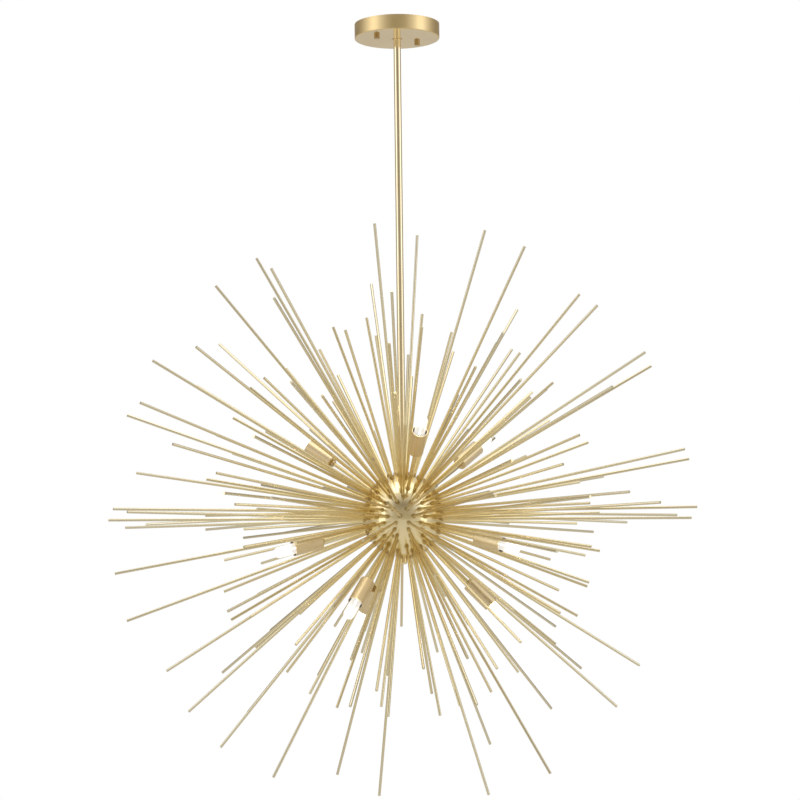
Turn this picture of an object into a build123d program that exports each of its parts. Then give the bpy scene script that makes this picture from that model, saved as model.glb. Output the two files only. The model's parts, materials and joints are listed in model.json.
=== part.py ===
from build123d import *
import os
from math import cos, radians, sin, sqrt
from typing import NamedTuple

# A starburst chandelier. Millimetres, +Z up, origin at the middle of the ceiling bracket, on the ceiling.

# Running fit between a turning or screwed piece and its hole, on the radius
FIT = 0.05

# Canopy: the round pan that covers the ceiling box
CANOPY_DIAMETER = 150.0
CANOPY_HEIGHT = 26.0
CANOPY_WALL = 1.2
CANOPY_EDGE_RADIUS = 1.5

# Mounting bracket: a flat steel cross under the ceiling, with slots for the box's two screws
BRACKET_THICKNESS = 1.6
BRACKET_LENGTH = 112.0
BRACKET_WIDTH = 22.0
BRACKET_HUB_RADIUS = 22.0
BRACKET_HOLE_RADIUS = 14.0
BOX_SCREW_SPACING = 88.9
BOX_SLOT_LENGTH = 14.0
BOX_SLOT_WIDTH = 5.0

# Canopy studs, their lock nuts and the knurled thumb nuts that hold the canopy up
STUD_SPACING = 88.9
STUD_ANGLE = 37.0
STUD_ARM_WIDTH = 14.0
STUD_RADIUS = 2.08
STUD_HOLE_SLACK = 0.4
LOCK_NUT_FLATS = 8.7
LOCK_NUT_HEIGHT = 3.2
THUMB_NUT_RADIUS = 4.75
THUMB_NUT_HEIGHT = 6.2
THUMB_NUT_THREAD = 4.8
THUMB_NUT_EDGE = 1.2
KNURL_GROOVES = 20
KNURL_RADIUS = 0.35

# Ground screw on the bracket
GROUND_SCREW_X = -26.0
GROUND_SCREW_RADIUS = 1.95
GROUND_HEAD_RADIUS = 4.0
GROUND_HEAD_HEIGHT = 2.4

# Self-levelling swivel: a ball on the stem's top, in a loose seat ring on the canopy's floor
BALL_RADIUS = 11.0
BALL_TOP = 6.0
SEAT_HOLE_RADIUS = 8.5
SEAT_SPIGOT_WALL = 1.45
SEAT_FLANGE_RADIUS = 15.0
SEAT_FLANGE_HEIGHT = 5.2
BALL_NUT_FLATS = 14.0
BALL_NUT_HEIGHT = 3.5

# Stem: two lengths of tube, joined inside by a threaded nipple
STEM_RADIUS = 6.35
UPPER_STEM_LENGTH = 376.0
LOWER_STEM_LENGTH = 397.0
PIPE_RADIUS = 4.86
PIPE_BORE_RADIUS = 3.3
PIPE_ENGAGEMENT = 14.0
PIPE_STICKOUT = 2.0
LEAD_RADIUS = 2.6

# Hub: two spun halves, each a dome on a short skirt
HUB_RADIUS = 66.0
HUB_SKIRT = 6.0
HUB_WALL = 1.8
HUB_FLAT_RADIUS = 6.8
HUB_LIP_HEIGHT = 1.5
HUB_LIP_WALL = 1.2
TIE_NUT_FLATS = 12.0
TIE_NUT_HEIGHT = 4.0
CAP_NUT_RADIUS = 6.4
CAP_NUT_HEIGHT = 13.0
CAP_NUT_THREAD = 9.0
TIE_WINDOW_WIDTH = 4.0
TIE_WINDOW_HEIGHT = 22.0
WIRE_NUT_RADIUS = 5.0
WIRE_NUT_HEIGHT = 17.0
WIRE_NUT_REACH = 18.0

# Rods: straight, long or short, their reach measured from the middle of their half of the hub
ROD_RADIUS = 2.38
LONG_ROD_REACH = 508.0
SHORT_ROD_REACH = 345.0
ROD_TAIL = 4.0
ROD_COLLAR_RADIUS = 4.1
ROD_COLLAR_HEIGHT = 4.0
ROD_NUT_RADIUS = 3.6
ROD_NUT_HEIGHT = 2.4
PIECE_GAP = 0.5

# Lamps: an arm tube, a socket cup, and what the cup holds, measured along the arm from the half's middle
ARM_RADIUS = 3.175
ARM_BORE_RADIUS = 2.2
ARM_TAIL = 4.0
ARM_NUT_RADIUS = 5.0
ARM_NUT_HEIGHT = 4.0
CUP_START = 160.0
CUP_RADIUS = 13.0
CUP_LENGTH = 53.0
CUP_WALL = 1.0
CUP_EDGE_RADIUS = 1.5
CUP_COLLAR_RADIUS = 5.8
CUP_COLLAR_HEIGHT = 5.0
CUP_NUT_HEIGHT = 2.4
SOCKET_SLACK = 0.4
SOCKET_LENGTH = 29.0
SOCKET_FLOOR = 10.0
SOCKET_RECESS_DEPTH = 6.0
SOCKET_RECESS_SLACK = 1.0
SKIRT_WALL = 1.0
SKIRT_SETBACK = 1.5
SCREW_SHELL_WALL = 0.55
CONTACT_RADIUS = 2.5
CONTACT_HEIGHT = 0.8
LAMP_LEAD_RADIUS = 1.5
LAMP_LEAD_START = 22.0

# Bulb: a clear tube with a candelabra screw base
BULB_RADIUS = 9.5
BULB_WALL = 0.8
BULB_BASE_RADIUS = 5.95
BULB_BASE_LENGTH = 17.0
BULB_NECK_RADIUS = 5.6
BULB_SHOULDER = 8.4
BULB_GLASS_LENGTH = 60.0
BULB_TIP_GAP = 0.15
CONTACT_BUTTON_RADIUS = 1.6
CONTACT_BUTTON_HEIGHT = 0.8
BASE_CONE_HEIGHT = 2.4
MOUNT_RADIUS = 3.4
MOUNT_HEIGHT = 15.0
MOUNT_TIP_RADIUS = 1.5
SUPPORT_RADIUS = 0.35
SUPPORT_SPREAD = 2.6
FILAMENT_RADIUS = 0.7
FILAMENT_LENGTH = 26.0


class Row(NamedTuple):
    """One ring of rods: its latitude on its half, how many places, the first place's azimuth, and
    the order in which long and short rods, L and S, come round."""

    latitude: float
    places: int
    first: float
    order: str


UPPER_ROWS = (
    Row(0, 18, 16, "LLSLSL"),
    Row(10, 18, 2, "LSLSSL"),
    Row(20, 16, 1, "SLSLL"),
    Row(30, 15, 4, "LSLLSS"),
    Row(40, 12, 28, "SLLSLS"),
    Row(50, 10, 13, "LLSSS"),
    Row(60, 8, 12, "SSLSL"),
    Row(70, 5, 40, "SSSLL"),
    Row(80, 3, 69, "LSS"),
)
LOWER_ROWS = (
    Row(0, 18, 6, "LSLLLS"),
    Row(-10, 18, 19, "SSSLL"),
    Row(-20, 16, 9, "SSLSLL"),
    Row(-30, 15, 19, "LLSSS"),
    Row(-40, 12, 17, "LLSS"),
    Row(-50, 10, 26, "SLSSL"),
    Row(-60, 8, 29, "SSLSL"),
    Row(-70, 5, 34, "LLSSS"),
    Row(-80, 3, 0, "S"),
)


class LampRing(NamedTuple):
    """A ring of lamps evenly apart: the half they stand on, their latitude, and the first one's azimuth."""

    half: int
    latitude: float
    first: float


LAMP_RINGS = (
    LampRing(1, 35.0, -80.0),
    LampRing(-1, -15.0, -35.5),
    LampRing(-1, -45.0, -123.0),
)
LAMPS_PER_RING = 3

# Levels, from the ceiling down
CANOPY_FLOOR_Z = -CANOPY_HEIGHT + CANOPY_WALL
SEAT_Z = CANOPY_FLOOR_Z + FIT
BALL_BOTTOM = sqrt(BALL_RADIUS**2 - STEM_RADIUS**2)
BALL_Z = -CANOPY_HEIGHT + BALL_BOTTOM
STEM_TOP_Z = -CANOPY_HEIGHT
STEM_SEAM_Z = STEM_TOP_Z - UPPER_STEM_LENGTH
STEM_BOTTOM_Z = STEM_SEAM_Z - LOWER_STEM_LENGTH
HUB_POLE_HEIGHT = HUB_SKIRT + sqrt(HUB_RADIUS**2 - HUB_FLAT_RADIUS**2)
HUB_Z = STEM_BOTTOM_Z - HUB_POLE_HEIGHT
HUB_INNER_RADIUS = HUB_RADIUS - HUB_WALL

# Stations along a lamp's arm
CUP_FLOOR = CUP_START + CUP_WALL
SOCKET_TOP = CUP_FLOOR + SOCKET_LENGTH
SOCKET_BORE_FLOOR = CUP_FLOOR + SOCKET_FLOOR
CONTACT_TOP = SOCKET_BORE_FLOOR + CONTACT_HEIGHT
BULB_START = CONTACT_TOP + BULB_TIP_GAP
GLASS_START = BULB_START + BULB_BASE_LENGTH
SCREW_SHELL_INNER = BULB_BASE_RADIUS + FIT
SCREW_SHELL_OUTER = SCREW_SHELL_INNER + SCREW_SHELL_WALL


def rod(radius, start, end):
    """A solid cylinder about Z between two heights."""
    return Pos(0, 0, start) * Cylinder(radius, end - start, align=(Align.CENTER, Align.CENTER, Align.MIN))


def tube(outer, inner, start, end):
    """A cylinder about Z with a bore right through it."""
    return rod(outer, start, end) - rod(inner, start - 1, end + 1)


def cone(lower, upper, start, end):
    """A cone frustum about Z between two heights."""
    return Pos(0, 0, start) * Cone(lower, upper, end - start, align=(Align.CENTER, Align.CENTER, Align.MIN))


def round_ended(radius, start, centre):
    """A cylinder about Z from the height start, ended by a half sphere about the height centre."""
    sides = Polyline((0, start), (radius, start), (radius, centre))
    outline = sides + CenterArc((0, centre), radius, 0, 90) + Line((0, centre + radius), (0, start))
    return revolve(Plane.XZ * make_face(outline), Axis.Z)


def hex_nut(flats, bore, start, height):
    """A hexagonal nut about Z, its lower face at the height start."""
    outline = RegularPolygon(flats / 2, 6, major_radius=False) - Circle(bore)
    return Pos(0, 0, start) * extrude(outline, height)


def half_centre(half):
    """The point that the rods of one half of the hub aim at: half is 1 for the upper, -1 for the lower."""
    return Vector(0, 0, HUB_Z + half * HUB_SKIRT)


def direction(latitude, azimuth):
    """The unit vector at a latitude and an azimuth, which is counted from +X towards +Y."""
    level = cos(radians(latitude))
    return Vector(level * cos(radians(azimuth)), level * sin(radians(azimuth)), sin(radians(latitude)))


def placed(piece, half, latitude, azimuth):
    """A piece modelled along +Z from the half's middle, turned to point outwards."""
    return Plane(origin=half_centre(half), z_dir=direction(latitude, azimuth)) * piece


def group(pieces):
    """Separate solids kept as one node."""
    return Compound(children=[solid for piece in pieces for solid in piece.solids()])


# Where the lamps and rods stand


def lamp_places():
    """Every lamp's half, latitude and azimuth, ring by ring."""
    turn = 360 / LAMPS_PER_RING
    return [
        (ring.half, ring.latitude, ring.first + turn * index)
        for ring in LAMP_RINGS
        for index in range(LAMPS_PER_RING)
    ]


def clears_lamps(half, latitude, azimuth):
    """True where a rod stands clear of every lamp's nut at the hub and of every socket cup."""
    centre = half_centre(half)
    along = direction(latitude, azimuth)
    for lamp_half, lamp_latitude, lamp_azimuth in lamp_places():
        lamp_centre = half_centre(lamp_half)
        lamp_along = direction(lamp_latitude, lamp_azimuth)
        between_feet = lamp_centre + lamp_along * HUB_RADIUS - centre - along * HUB_RADIUS
        if between_feet.length < ARM_NUT_RADIUS + ROD_COLLAR_RADIUS + PIECE_GAP:
            return False
        cup_to_rod = (lamp_centre + lamp_along * CUP_START - centre).cross(along)
        if cup_to_rod.length < CUP_RADIUS + ROD_RADIUS + PIECE_GAP:
            return False
    return True


def clears_stem(latitude):
    """True where a rod's collar and inner nut stand clear of the stem, the cap nut and the tie nut."""
    level = cos(radians(latitude))
    outside = HUB_RADIUS * level - ROD_COLLAR_RADIUS
    inside = (HUB_INNER_RADIUS - ROD_NUT_HEIGHT) * level - ROD_NUT_RADIUS
    tie_nut_corner = TIE_NUT_FLATS / sqrt(3)
    return outside > max(STEM_RADIUS, CAP_NUT_RADIUS) + FIT and inside > tie_nut_corner + FIT


def rod_places(rows, half):
    """Every rod of one half as (half, latitude, azimuth, letter), where lamps and stem leave room."""
    places = []
    for row in rows:
        if not clears_stem(row.latitude):
            continue
        for index in range(row.places):
            azimuth = row.first + index * 360 / row.places
            if clears_lamps(half, row.latitude, azimuth):
                places.append((half, row.latitude, azimuth, row.order[index % len(row.order)]))
    return places


UPPER_RODS = rod_places(UPPER_ROWS, 1)
LOWER_RODS = rod_places(LOWER_ROWS, -1)


# Canopy


def stud_locations():
    """The two places of the canopy's studs, on a line turned from +X."""
    return Rot(0, 0, STUD_ANGLE) * GridLocations(STUD_SPACING, 0, 2, 1)


def canopy_shell():
    """A round pan with its floor down, a hole for the seat ring and two for the studs."""
    radius = CANOPY_DIAMETER / 2
    pan = rod(radius, -CANOPY_HEIGHT, 0)
    pan = fillet(pan.edges().sort_by(Axis.Z)[0], CANOPY_EDGE_RADIUS)
    pan -= rod(radius - CANOPY_WALL, CANOPY_FLOOR_Z, 1)
    pan -= rod(SEAT_HOLE_RADIUS + SEAT_SPIGOT_WALL + FIT, -CANOPY_HEIGHT - 1, 0)
    stud_hole = rod(STUD_RADIUS + STUD_HOLE_SLACK, -CANOPY_HEIGHT - 1, 0)
    return pan - [place * stud_hole for place in stud_locations()]


def mounting_bracket():
    """A flat cross: the long bar takes the box's screws in slots, the short one takes the canopy's studs."""
    plate = SlotOverall(BRACKET_LENGTH, BRACKET_WIDTH) + Circle(BRACKET_HUB_RADIUS)
    plate += Rot(0, 0, STUD_ANGLE) * SlotOverall(STUD_SPACING + STUD_ARM_WIDTH, STUD_ARM_WIDTH)
    plate -= Circle(BRACKET_HOLE_RADIUS)
    box_slot = SlotOverall(BOX_SLOT_LENGTH, BOX_SLOT_WIDTH)
    plate -= [spot * box_slot for spot in GridLocations(BOX_SCREW_SPACING, 0, 2, 1)]
    plate -= [spot * Circle(STUD_RADIUS + FIT) for spot in stud_locations()]
    plate -= Pos(GROUND_SCREW_X, 0) * Circle(GROUND_SCREW_RADIUS + FIT)
    return Pos(0, 0, -BRACKET_THICKNESS) * extrude(plate, BRACKET_THICKNESS)


def canopy_stud():
    """A threaded stud from the bracket down through the canopy's floor into its thumb nut."""
    end = -CANOPY_HEIGHT - FIT - THUMB_NUT_THREAD + PIECE_GAP
    return rod(STUD_RADIUS, end, 0)


def stud_lock_nut():
    """The hexagonal nut that locks a stud against the bracket."""
    return hex_nut(LOCK_NUT_FLATS, STUD_RADIUS + FIT, -BRACKET_THICKNESS - LOCK_NUT_HEIGHT, LOCK_NUT_HEIGHT)


def thumb_nut():
    """A knurled round nut with a blind thread, its mouth just under the canopy."""
    top = -CANOPY_HEIGHT - FIT
    nut = rod(THUMB_NUT_RADIUS, top - THUMB_NUT_HEIGHT, top)
    nut = fillet(nut.edges().sort_by(Axis.Z)[0], THUMB_NUT_EDGE)
    nut -= rod(STUD_RADIUS + FIT, top - THUMB_NUT_THREAD, top + 1)
    groove = rod(KNURL_RADIUS, top - THUMB_NUT_HEIGHT - 1, top + 1)
    return nut - [place * groove for place in PolarLocations(THUMB_NUT_RADIUS, KNURL_GROOVES)]


def ground_screw():
    """The ground terminal's screw, with its head under the bracket."""
    shank = rod(GROUND_SCREW_RADIUS, -BRACKET_THICKNESS, 0)
    head = rod(GROUND_HEAD_RADIUS, -BRACKET_THICKNESS - GROUND_HEAD_HEIGHT, -BRACKET_THICKNESS)
    return Pos(GROUND_SCREW_X, 0) * (shank + head)


# Swivel and stem


def seat_ring():
    """The loose ring that the ball rests in: a flange on the canopy's floor and a spigot through its hole."""
    ring = rod(SEAT_FLANGE_RADIUS, SEAT_Z, SEAT_Z + SEAT_FLANGE_HEIGHT)
    ring += rod(SEAT_HOLE_RADIUS + SEAT_SPIGOT_WALL, -CANOPY_HEIGHT, SEAT_Z)
    ring -= rod(SEAT_HOLE_RADIUS, -CANOPY_HEIGHT - 1, 0)
    return ring - Pos(0, 0, BALL_Z) * Sphere(BALL_RADIUS + FIT)


def swivel_ball():
    """A ball with flats top and bottom, bored for the threaded nipple."""
    slab = rod(BALL_RADIUS + 1, BALL_Z - BALL_BOTTOM, BALL_Z + BALL_TOP)
    return (Pos(0, 0, BALL_Z) * Sphere(BALL_RADIUS)) & slab - rod(PIPE_RADIUS + FIT, -2 * CANOPY_HEIGHT, 0)


def ball_nut():
    """The hexagonal nut that holds the ball on the nipple."""
    return hex_nut(BALL_NUT_FLATS, PIPE_RADIUS + FIT, BALL_Z + BALL_TOP, BALL_NUT_HEIGHT)


def top_nipple():
    """Threaded pipe from inside the upper stem, through the ball and its nut."""
    top = BALL_Z + BALL_TOP + BALL_NUT_HEIGHT + PIPE_STICKOUT
    return tube(PIPE_RADIUS, PIPE_BORE_RADIUS, STEM_TOP_Z - PIPE_ENGAGEMENT, top)


def stem_nipple():
    """Threaded pipe hidden inside the seam between the two stems."""
    return tube(PIPE_RADIUS, PIPE_BORE_RADIUS, STEM_SEAM_Z - PIPE_ENGAGEMENT, STEM_SEAM_Z + PIPE_ENGAGEMENT)


def stem(start, end):
    """One length of the stem's tube."""
    return tube(STEM_RADIUS, PIPE_RADIUS + FIT, end, start)


def stem_lead():
    """The insulated supply lead, straight down the stem to the window in the tie pipe."""
    top = BALL_Z + BALL_TOP + BALL_NUT_HEIGHT + 2 * PIPE_STICKOUT
    return rod(LEAD_RADIUS, HUB_Z, top)


# Hub


def hub_lip():
    """The ring inside the lower half's rim that the upper half slips over."""
    inner = HUB_INNER_RADIUS - HUB_LIP_WALL
    rim = tube(HUB_INNER_RADIUS + HUB_WALL / 2, inner, 0, HUB_LIP_HEIGHT)
    return rim + tube(HUB_INNER_RADIUS - FIT, inner, -HUB_LIP_HEIGHT, 0)


def hub_half(half, rods):
    """One spun half of the hub with its drilled holes: half is 1 for the upper, -1 for the lower."""
    shell = round_ended(HUB_RADIUS, 0, HUB_SKIRT) & rod(HUB_RADIUS + 1, 0, HUB_POLE_HEIGHT)
    shell -= round_ended(HUB_INNER_RADIUS, -1, HUB_SKIRT)
    shell -= rod(PIPE_RADIUS + FIT, 0, HUB_POLE_HEIGHT + 1)
    if half < 0:
        shell = Rot(180, 0, 0) * (shell + hub_lip())
    reach = (HUB_INNER_RADIUS - ROD_TAIL, HUB_RADIUS + ROD_TAIL)
    holes = [placed(rod(ROD_RADIUS + FIT, *reach), *place[:3]) for place in rods]
    holes += [placed(rod(ARM_RADIUS + FIT, *reach), *lamp) for lamp in lamp_places() if lamp[0] == half]
    return Pos(0, 0, HUB_Z) * shell - holes


def tie_pipe():
    """Threaded pipe from the lower stem right through the hub, with a window for the lamps' leads."""
    pipe = tube(
        PIPE_RADIUS,
        PIPE_BORE_RADIUS,
        HUB_Z - HUB_POLE_HEIGHT - CAP_NUT_THREAD + PIECE_GAP,
        STEM_BOTTOM_Z + PIPE_ENGAGEMENT,
    )
    return pipe - Pos(0, 0, HUB_Z) * Box(3 * PIPE_RADIUS, TIE_WINDOW_WIDTH, TIE_WINDOW_HEIGHT)


def tie_nut():
    """The nut inside the hub that holds the upper half to the stem."""
    corner = TIE_NUT_FLATS / sqrt(3)
    top = HUB_Z + HUB_SKIRT + sqrt(HUB_INNER_RADIUS**2 - corner**2)
    return hex_nut(TIE_NUT_FLATS, PIPE_RADIUS + FIT, top - TIE_NUT_HEIGHT, TIE_NUT_HEIGHT)


def cap_nut():
    """The domed nut under the hub that clamps its two halves together."""
    top = HUB_Z - HUB_POLE_HEIGHT
    nut = rod(CAP_NUT_RADIUS, top - CAP_NUT_HEIGHT, top)
    nut = fillet(nut.edges().sort_by(Axis.Z)[0], CAP_NUT_RADIUS / 2)
    return nut - rod(PIPE_RADIUS + FIT, top - CAP_NUT_THREAD, top + 1)


def wire_nuts():
    """The two twist-on connectors that join the lamps' leads inside the hub."""
    nut = cone(WIRE_NUT_RADIUS, WIRE_NUT_RADIUS / 2, HUB_Z, HUB_Z + WIRE_NUT_HEIGHT)
    return [place * nut for place in PolarLocations(WIRE_NUT_REACH, 2)]


# Rods


def burst_rod(reach):
    """A straight rod from inside the hub's wall out to its reach."""
    return rod(ROD_RADIUS, HUB_INNER_RADIUS - ROD_NUT_HEIGHT - ROD_TAIL, reach)


def rod_collar():
    """The small round collar that stands on the hub at each rod's foot."""
    return tube(ROD_COLLAR_RADIUS, ROD_RADIUS + FIT, HUB_RADIUS, HUB_RADIUS + ROD_COLLAR_HEIGHT)


def inner_nut(radius, height, bore):
    """A round nut drawn up against the inside of the hub."""
    seat = sqrt(HUB_INNER_RADIUS**2 - radius**2)
    return tube(radius, bore, seat - height, seat)


# Lamps


def arm():
    """The tube from inside the hub to the floor of the socket cup."""
    start = HUB_INNER_RADIUS - ARM_NUT_HEIGHT - ARM_TAIL
    return tube(ARM_RADIUS, ARM_BORE_RADIUS, start, CUP_FLOOR + CUP_NUT_HEIGHT)


def arm_nut():
    """The nut outside the hub at an arm's foot."""
    return tube(ARM_NUT_RADIUS, ARM_RADIUS + FIT, HUB_RADIUS, HUB_RADIUS + ARM_NUT_HEIGHT)


def cup_collar():
    """The collar that the socket cup stands on."""
    return tube(CUP_COLLAR_RADIUS, ARM_RADIUS + FIT, CUP_START - CUP_COLLAR_HEIGHT, CUP_START)


def socket_cup():
    """A plain cup, open outwards, with a hole in its floor for the arm."""
    cup = rod(CUP_RADIUS, CUP_START, CUP_START + CUP_LENGTH)
    cup = fillet(cup.edges().sort_by(Axis.Z)[0], CUP_EDGE_RADIUS)
    cup -= rod(CUP_RADIUS - CUP_WALL, CUP_FLOOR, CUP_START + CUP_LENGTH + 1)
    return cup - rod(ARM_RADIUS + FIT, CUP_START - 1, CUP_FLOOR + 1)


def cup_nut():
    """The thin nut inside the cup that holds it on the arm."""
    return tube(CUP_COLLAR_RADIUS, ARM_RADIUS + FIT, CUP_FLOOR, CUP_FLOOR + CUP_NUT_HEIGHT)


def socket_body():
    """The black socket: a bore for the screw shell, a recess below, and a skirt that lines the cup above."""
    radius = CUP_RADIUS - CUP_WALL - SOCKET_SLACK
    body = rod(radius, CUP_FLOOR, SOCKET_TOP)
    body += tube(radius, radius - SKIRT_WALL, SOCKET_TOP - SKIRT_WALL, CUP_START + CUP_LENGTH - SKIRT_SETBACK)
    body -= rod(SCREW_SHELL_OUTER + FIT, SOCKET_BORE_FLOOR, SOCKET_TOP + 1)
    return body - rod(CUP_COLLAR_RADIUS + SOCKET_RECESS_SLACK, CUP_FLOOR - 1, CUP_FLOOR + SOCKET_RECESS_DEPTH)


def screw_shell():
    """The brass shell that the bulb's base screws into."""
    return tube(SCREW_SHELL_OUTER, SCREW_SHELL_INNER, SOCKET_BORE_FLOOR, SOCKET_TOP - PIECE_GAP)


def centre_contact():
    """The brass tab at the bottom of the socket."""
    return rod(CONTACT_RADIUS, SOCKET_BORE_FLOOR, CONTACT_TOP)


def lamp_lead():
    """A lamp's insulated lead, from the hub through the arm into the socket's recess."""
    return rod(LAMP_LEAD_RADIUS, LAMP_LEAD_START, CUP_FLOOR + SOCKET_RECESS_DEPTH - PIECE_GAP)


def bulb_base():
    """The screw base with its contact button, and the glass mount, supports and filament that it carries."""
    shell_start = BULB_START + CONTACT_BUTTON_HEIGHT + BASE_CONE_HEIGHT
    base = rod(CONTACT_BUTTON_RADIUS, BULB_START, shell_start)
    base += cone(CONTACT_BUTTON_RADIUS + 1, BULB_BASE_RADIUS, BULB_START + CONTACT_BUTTON_HEIGHT, shell_start)
    base += rod(BULB_BASE_RADIUS, shell_start, GLASS_START)
    mount_top = GLASS_START + MOUNT_HEIGHT
    mount = cone(MOUNT_RADIUS, MOUNT_TIP_RADIUS, GLASS_START, mount_top)
    filament_top = mount_top + PIECE_GAP + FILAMENT_LENGTH
    filament = rod(FILAMENT_RADIUS, mount_top + PIECE_GAP, filament_top)
    support = Pos(SUPPORT_SPREAD, 0) * rod(SUPPORT_RADIUS, mount_top, filament_top)
    foot = Pos(SUPPORT_SPREAD / 2, 0, mount_top) * Box(
        SUPPORT_SPREAD, 2 * SUPPORT_RADIUS, 2 * SUPPORT_RADIUS, align=(Align.CENTER, Align.CENTER, Align.MAX)
    )
    wire = support + Pos(0, 0, SUPPORT_RADIUS) * foot
    return base, mount + wire, filament


def bulb_outline(inset):
    """The bulb's glass as a solid: a flared neck, a straight tube and a round tip, drawn in by inset."""
    shoulder = GLASS_START + BULB_SHOULDER
    tip_centre = GLASS_START + BULB_GLASS_LENGTH - BULB_RADIUS
    radius = BULB_RADIUS - inset
    outline = cone(BULB_NECK_RADIUS - inset, radius, GLASS_START, shoulder)
    return outline + round_ended(radius, shoulder, tip_centre)


def bulb_glass():
    """The clear envelope, closed at its tip and standing on the base."""
    return bulb_outline(0) - bulb_outline(BULB_WALL)


def all_nodes():
    """Every node's name with its shape, in place."""
    lamps = lamp_places()
    nodes = {
        "canopy_shell": canopy_shell(),
        "mounting_bracket": mounting_bracket(),
        "canopy_studs": group([place * canopy_stud() for place in stud_locations()]),
        "stud_lock_nuts": group([place * stud_lock_nut() for place in stud_locations()]),
        "ground_screw": ground_screw(),
        "seat_ring": seat_ring(),
        "swivel_ball": swivel_ball(),
        "ball_nut": ball_nut(),
        "top_nipple": top_nipple(),
        "upper_stem": stem(STEM_TOP_Z, STEM_SEAM_Z),
        "stem_nipple": stem_nipple(),
        "lower_stem": stem(STEM_SEAM_Z, STEM_BOTTOM_Z),
        "stem_lead": stem_lead(),
        "upper_hub_half": hub_half(1, UPPER_RODS),
        "lower_hub_half": hub_half(-1, LOWER_RODS),
        "tie_pipe": tie_pipe(),
        "tie_nut": tie_nut(),
        "cap_nut": cap_nut(),
        "wire_nuts": group(wire_nuts()),
    }
    for number, place in enumerate(stud_locations(), start=1):
        nodes[f"thumb_nut_{number}"] = place * thumb_nut()
    rod_nut = inner_nut(ROD_NUT_RADIUS, ROD_NUT_HEIGHT, ROD_RADIUS + FIT)
    for half_name, half_rods in (("upper", UPPER_RODS), ("lower", LOWER_RODS)):
        for length_name, reach in (("long", LONG_ROD_REACH), ("short", SHORT_ROD_REACH)):
            letter = length_name[0].upper()
            same = [placed(burst_rod(reach), *spot[:3]) for spot in half_rods if spot[3] == letter]
            nodes[f"{half_name}_{length_name}_rods"] = group(same)
        nodes[f"{half_name}_rod_collars"] = group([placed(rod_collar(), *spot[:3]) for spot in half_rods])
        nodes[f"{half_name}_rod_nuts"] = group([placed(rod_nut, *spot[:3]) for spot in half_rods])
    lamp_pieces = {
        "lamp_arms": arm(),
        "arm_nuts": arm_nut(),
        "arm_inner_nuts": inner_nut(ARM_NUT_RADIUS, ARM_NUT_HEIGHT, ARM_RADIUS + FIT),
        "cup_collars": cup_collar(),
        "socket_cups": socket_cup(),
        "cup_nuts": cup_nut(),
        "sockets": socket_body(),
        "screw_shells": screw_shell(),
        "centre_contacts": centre_contact(),
        "lamp_leads": lamp_lead(),
    }
    for name, piece in lamp_pieces.items():
        nodes[name] = group([placed(piece, *lamp) for lamp in lamps])
    for number, lamp in enumerate(lamps, start=1):
        nodes[f"bulb_{number}_glass"] = placed(bulb_glass(), *lamp)
        nodes[f"bulb_{number}_base"] = group([placed(piece, *lamp) for piece in bulb_base()])
    return nodes


os.makedirs("parts", exist_ok=True)
for node_name, shape in all_nodes().items():
    export_step(shape, f"parts/{node_name}.step")
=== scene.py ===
"""Finishes, bulb fittings and studio for the starburst chandelier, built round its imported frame."""

import json
import logging
import math
from dataclasses import dataclass, field
from enum import Enum

import bpy
from mathutils import Matrix, Vector

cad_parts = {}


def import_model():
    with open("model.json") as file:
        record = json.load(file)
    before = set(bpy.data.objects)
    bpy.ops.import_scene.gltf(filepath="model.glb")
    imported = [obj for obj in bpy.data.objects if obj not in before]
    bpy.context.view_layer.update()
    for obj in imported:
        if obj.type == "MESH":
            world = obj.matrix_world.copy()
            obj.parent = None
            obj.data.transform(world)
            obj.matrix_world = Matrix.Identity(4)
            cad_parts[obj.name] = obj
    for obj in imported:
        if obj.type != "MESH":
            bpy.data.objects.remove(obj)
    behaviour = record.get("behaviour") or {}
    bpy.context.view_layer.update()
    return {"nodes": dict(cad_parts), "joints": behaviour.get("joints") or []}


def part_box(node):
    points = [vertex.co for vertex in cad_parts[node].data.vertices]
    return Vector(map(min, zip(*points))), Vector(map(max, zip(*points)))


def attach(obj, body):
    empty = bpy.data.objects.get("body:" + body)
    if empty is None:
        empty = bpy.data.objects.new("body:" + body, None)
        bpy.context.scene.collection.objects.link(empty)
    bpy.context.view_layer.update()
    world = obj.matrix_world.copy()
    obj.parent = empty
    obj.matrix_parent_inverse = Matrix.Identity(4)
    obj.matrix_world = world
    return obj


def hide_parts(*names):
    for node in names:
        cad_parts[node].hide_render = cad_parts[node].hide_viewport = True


LOG = logging.getLogger("chandelier")

Colour = tuple[float, float, float]
Outline = list[tuple[float, float]]
Socket = bpy.types.NodeSocket
Node = bpy.types.Node
Tree = bpy.types.ShaderNodeTree
Material = bpy.types.Material
Piece = bpy.types.Object

# How far above the canopy's flat underside its polish fades out, in metres
POLISH_EDGE = 0.0003

# Fine noise mostly lies between these
NOISE_LOW = 0.3
NOISE_HIGH = 0.7

# The light and the deep tone of two finishes that more than one assembly wears
ZINC = ((0.66, 0.68, 0.7), (0.46, 0.47, 0.48))
INSULATION = ((0.86, 0.85, 0.8), (0.74, 0.72, 0.66))

# How many faces go round the bulb's turned fittings, the wide ones and the slim ones
WIDE_FACES = 28
SLIM_FACES = 20


# ------------ Shared node patterns ------------


class Pattern(Enum):
    """The surface patterns that the finishes share, one node group each."""

    SLOW_TONE = "slow_tone"
    SPUN_LINES = "spun_lines"
    DRAWN_LINES = "drawn_lines"
    HANDLING = "handling_marks"
    THREAD = "cut_thread"
    MOTTLE = "fine_mottle"


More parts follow.
